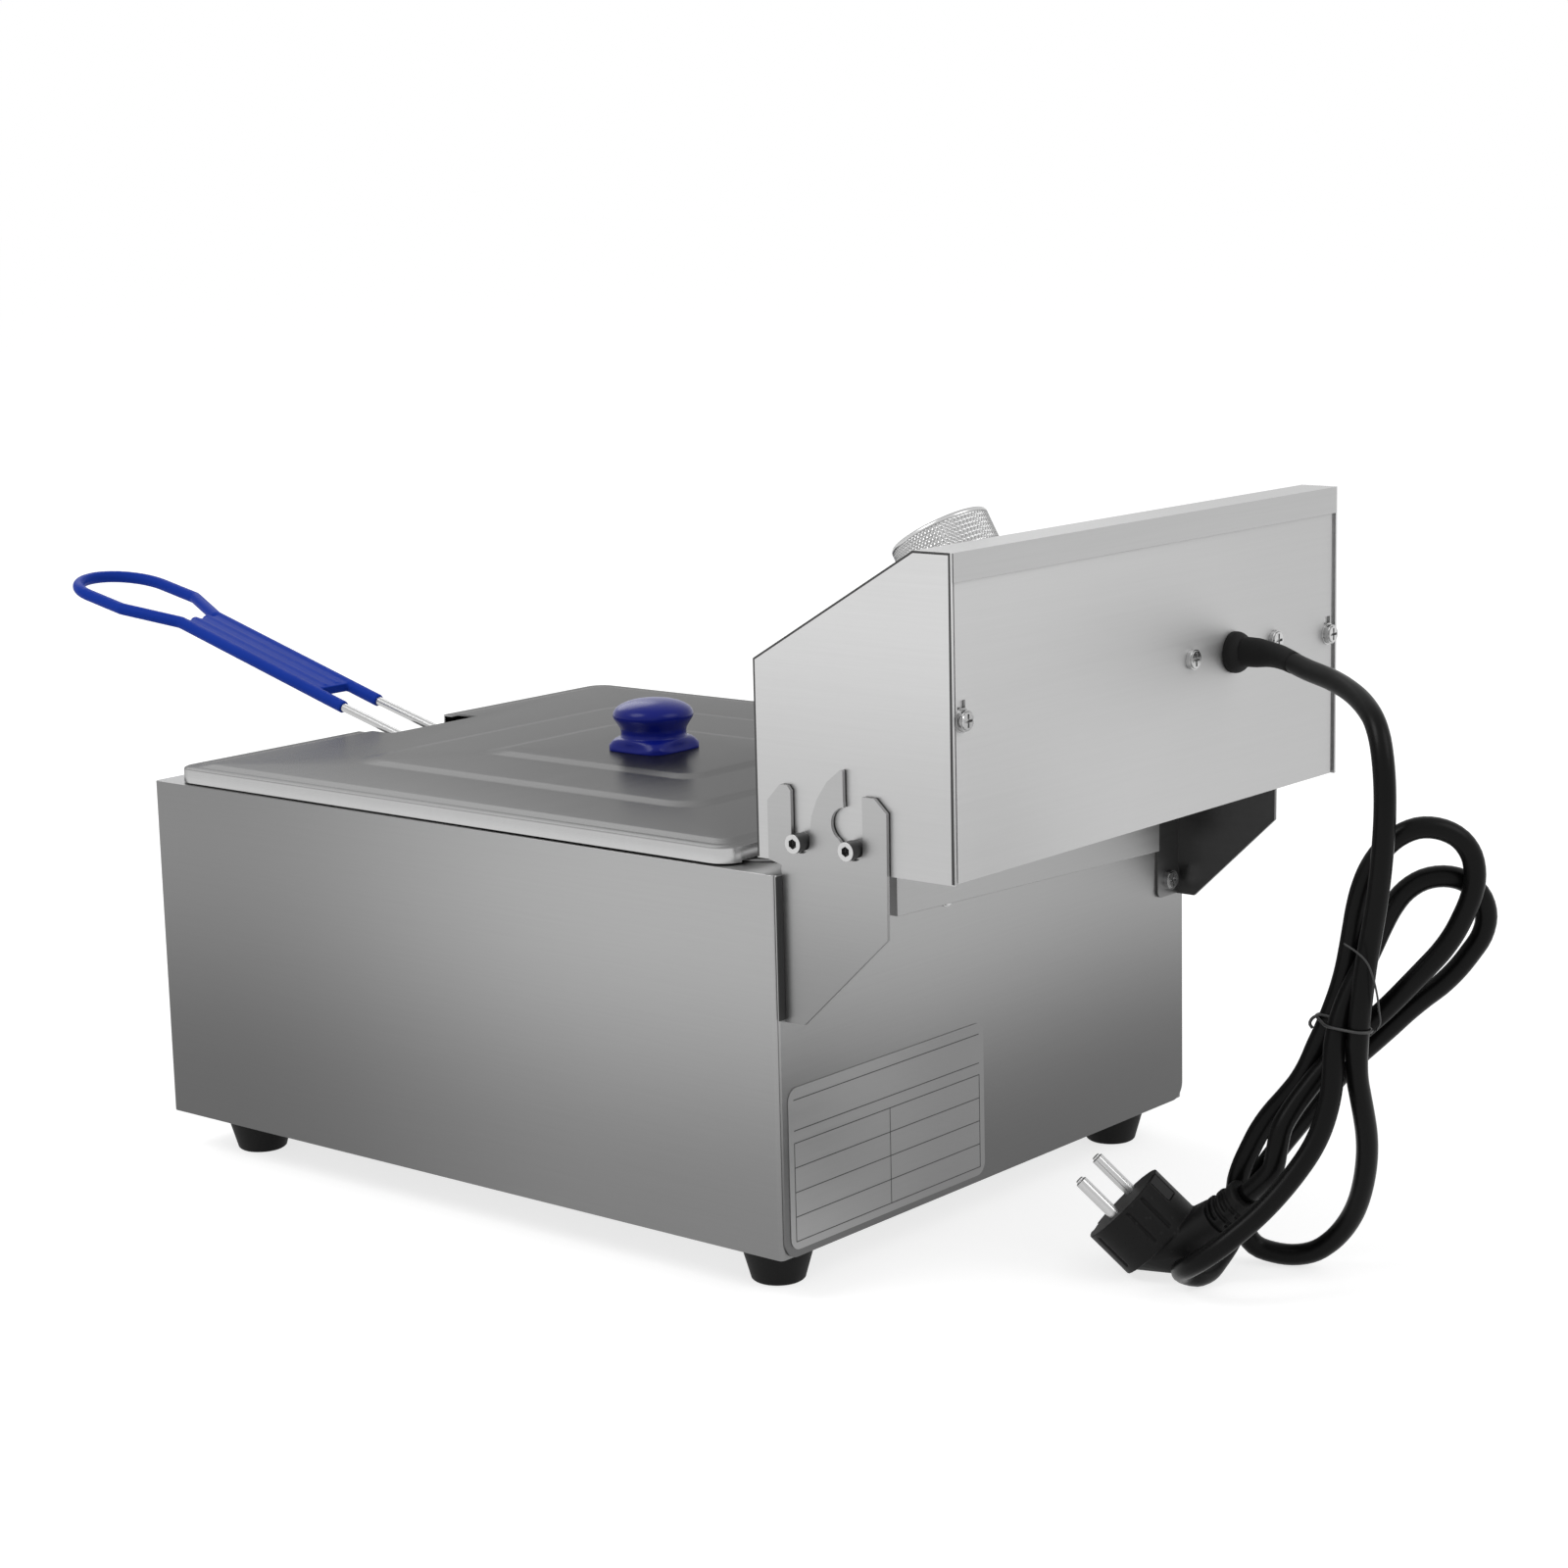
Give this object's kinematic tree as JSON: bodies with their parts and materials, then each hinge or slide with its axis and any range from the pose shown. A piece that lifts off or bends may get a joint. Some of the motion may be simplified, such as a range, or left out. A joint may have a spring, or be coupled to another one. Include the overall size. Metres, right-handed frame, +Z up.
{
  "type": "deep fryer",
  "caption": "Countertop deep fryer with a lift-out basket on a coated handle, a lift-off lid and a hinged control head that carries the immersed heating element.",
  "frame": {"origin": "on the floor under the middle of the object's box, measured without the mains cord and plug", "axes": "+X to the user's right, +Y to the back where the control head and cord are, +Z up; the basket's handle points to -Y"},
  "size_m": [0.2714, 0.7605, 0.2917],
  "materials": {
    "casing_steel": "brushed stainless sheet, satin",
    "rear_steel": "brushed stainless sheet, satin",
    "head_steel": "brushed stainless sheet, fine satin",
    "lid_steel": "pressed stainless sheet, matt",
    "tank_steel": "deep-drawn stainless, satin",
    "label_steel": "thin silvered plate, matt",
    "screw_steel": "zinc-plated and stainless screws",
    "wire_steel": "plated wire, bright",
    "element_steel": "heat-darkened tube",
    "blue_coat": "dipped blue PVC coating, semi-gloss",
    "blue_knob": "moulded dark blue heatproof plastic",
    "rubber_black": "moulded rubber, matt",
    "cord_black": "rubber-sheathed mains cord",
    "plug_black": "moulded PVC",
    "plug_metal": "nickel-plated brass",
    "knob_silver": "silvered plastic",
    "dial_white": "printed plastic film",
    "lamp_green": "translucent lens",
    "lamp_orange": "translucent lens",
    "copper": "copper capillary and bulb",
    "bakelite": "moulded phenolic",
    "terminal_white": "moulded polyamide",
    "wire_insulation": "silicone insulation",
    "button_red": "moulded plastic",
    "tie_black": "plastic-coated twist wire"
  },
  "bodies": {
    "main": {"outer_casing": "casing_steel", "rear_panel": "rear_steel", "base_plate": "casing_steel", "tank": "tank_steel", "rear_apron": "rear_steel", "rear_panel_screws": "screw_steel", "bracket_right": "casing_steel", "bracket_left": "casing_steel", "bracket_screws": "screw_steel", "label_plate": "label_steel", "feet": "rubber_black", "foot_screws": "screw_steel", "cord_lead": "cord_black", "cord_hank": "cord_black", "cord_ties": "tie_black", "plug_body": "plug_black", "plug_pins": "plug_metal", "plug_contacts": "plug_metal"},
    "head": {"head_chassis": "head_steel", "control_cover": "head_steel", "head_rear_panel": "head_steel", "head_panel_screws": "screw_steel", "pivot_pins": "screw_steel", "element_box": "head_steel", "heating_element": "element_steel", "element_guard": "wire_steel", "thermostat_body": "bakelite", "thermostat_bulb": "copper", "limiter_body": "bakelite", "limiter_bulb": "copper", "dial_plate": "dial_white", "power_lamp": "lamp_green", "heating_lamp": "lamp_orange", "terminal_block": "terminal_white", "wiring": "wire_insulation", "cord_grommet": "rubber_black", "cord_clamp": "bakelite", "clamp_screws": "screw_steel"},
    "knob": {"thermostat_knob": "knob_silver"},
    "reset": {"reset_button": "button_red"},
    "basket": {"basket_mesh": "wire_steel", "basket_frame": "wire_steel", "basket_hook": "wire_steel", "handle_wires": "wire_steel", "handle_grip": "blue_coat"},
    "lid": {"lid_panel": "lid_steel", "lid_knob": "blue_knob", "lid_knob_screw": "screw_steel"}
  },
  "joints": [
    {"name": "head_tilt", "type": "hinge", "parent": "main", "child": "head", "pos_m": [0, 0.27513, 0.182], "axis": [-1, 0, 0], "range_deg": [0, 90], "deforming": ["cord_lead"]},
    {"name": "thermostat_turn", "type": "hinge", "parent": "head", "child": "knob", "pos_m": [0.051, 0.26009, 0.26385], "axis": [0, 0.5047, -0.8633], "range_deg": [0, 270]},
    {"name": "reset_press", "type": "slide", "parent": "head", "child": "reset", "axis": [0, 0.5047, -0.8633], "range_m": [0, 0.002], "stiffness_N_per_m": 600},
    {"name": "basket_lift", "type": "slide", "parent": "head", "child": "basket", "axis": [0, 0, 1], "range_m": [0, 0.16]},
    {"name": "lid_lift", "type": "slide", "parent": "basket", "child": "lid", "axis": [0, 0, 1], "range_m": [0, 0.12]}
  ]
}
